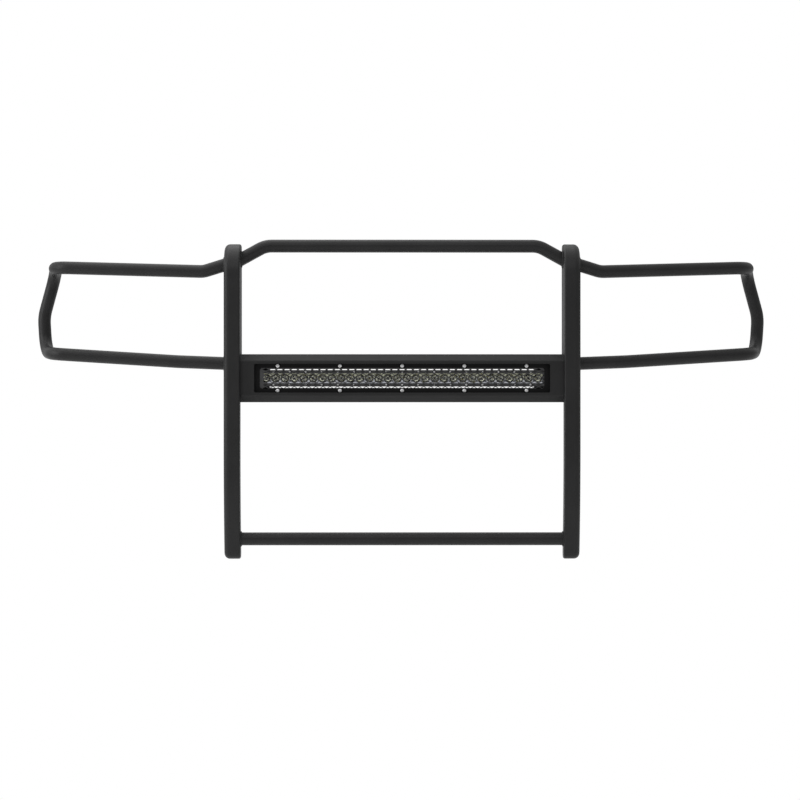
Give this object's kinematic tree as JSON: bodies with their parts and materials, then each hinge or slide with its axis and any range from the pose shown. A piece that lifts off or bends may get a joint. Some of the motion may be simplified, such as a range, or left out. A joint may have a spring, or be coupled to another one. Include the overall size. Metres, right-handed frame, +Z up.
{
  "type": "front grille guard",
  "caption": "Tubular black front grille guard for a truck, with headlamp wings, deep uprights and a boxed crossbar holding a screened LED light bar that tilts for aim.",
  "frame": {"origin": "middle of the guard's footprint, level with the feet of the uprights", "axes": "+X to the guard's right seen from the front, +Y back towards the truck, +Z up"},
  "size_m": [2.014, 0.285, 0.8588],
  "materials": {
    "black_powder_coat": "satin textured black powder coat on steel",
    "recess_black": "satin black powder coat on steel sheet",
    "mesh_black": "black powder coat on expanded steel",
    "zinc_plated_steel": "zinc-plated steel",
    "stainless_steel": "bright stainless steel",
    "black_anodised_aluminium": "black anodised extrusion",
    "bezel_black": "satin black die-cast frame",
    "clear_lens": "clear moulded polycarbonate, seen as glass",
    "reflector_chrome": "vacuum-metallised moulding",
    "board_white": "white solder mask on an aluminium board",
    "led_yellow": "yellow phosphor under silicone",
    "black_rubber": "matte silicone gasket",
    "black_nylon": "matte moulded nylon"
  },
  "bodies": {
    "guard": {"left_upright": "black_powder_coat", "right_upright": "black_powder_coat", "top_bar": "black_powder_coat", "bottom_bar": "black_powder_coat", "left_wing_tube": "black_powder_coat", "right_wing_tube": "black_powder_coat", "crossbar_housing": "black_powder_coat", "crossbar_back_plate": "black_powder_coat", "left_end_plate": "black_powder_coat", "right_end_plate": "black_powder_coat", "end_plate_bolts": "zinc_plated_steel", "upright_weld_nuts": "zinc_plated_steel", "screen_plate": "recess_black", "expanded_mesh": "mesh_black", "screen_bolts": "stainless_steel", "screen_nuts": "zinc_plated_steel", "left_light_bar_bracket": "black_powder_coat", "right_light_bar_bracket": "black_powder_coat", "light_bar_bracket_bolts": "zinc_plated_steel", "left_bracket_tab": "black_powder_coat", "right_bracket_tab": "black_powder_coat", "left_frame_bracket": "black_powder_coat", "right_frame_bracket": "black_powder_coat", "left_bracket_bolts": "zinc_plated_steel", "right_bracket_bolts": "zinc_plated_steel", "bracket_washers": "zinc_plated_steel", "bracket_nuts": "zinc_plated_steel"},
    "light_bar": {"light_bar_housing": "black_anodised_aluminium", "bezel": "bezel_black", "bezel_screws": "stainless_steel", "lens": "clear_lens", "lens_gasket": "black_rubber", "reflector_strip": "reflector_chrome", "circuit_board": "board_white", "led_emitters": "led_yellow", "left_light_bar_end_cap": "black_anodised_aluminium", "right_light_bar_end_cap": "black_anodised_aluminium", "left_end_cap_gasket": "black_rubber", "right_end_cap_gasket": "black_rubber", "end_cap_screws": "stainless_steel", "pivot_bolts": "stainless_steel", "pivot_washers": "black_nylon", "cable_gland": "black_nylon", "vent_plug": "black_nylon"}
  },
  "joints": [
    {"name": "light_bar_aim", "type": "hinge", "parent": "guard", "child": "light_bar", "pos_m": [0, -0.0645, 0.4854], "axis": [1, 0, 0], "range_deg": [-6, 6]}
  ]
}
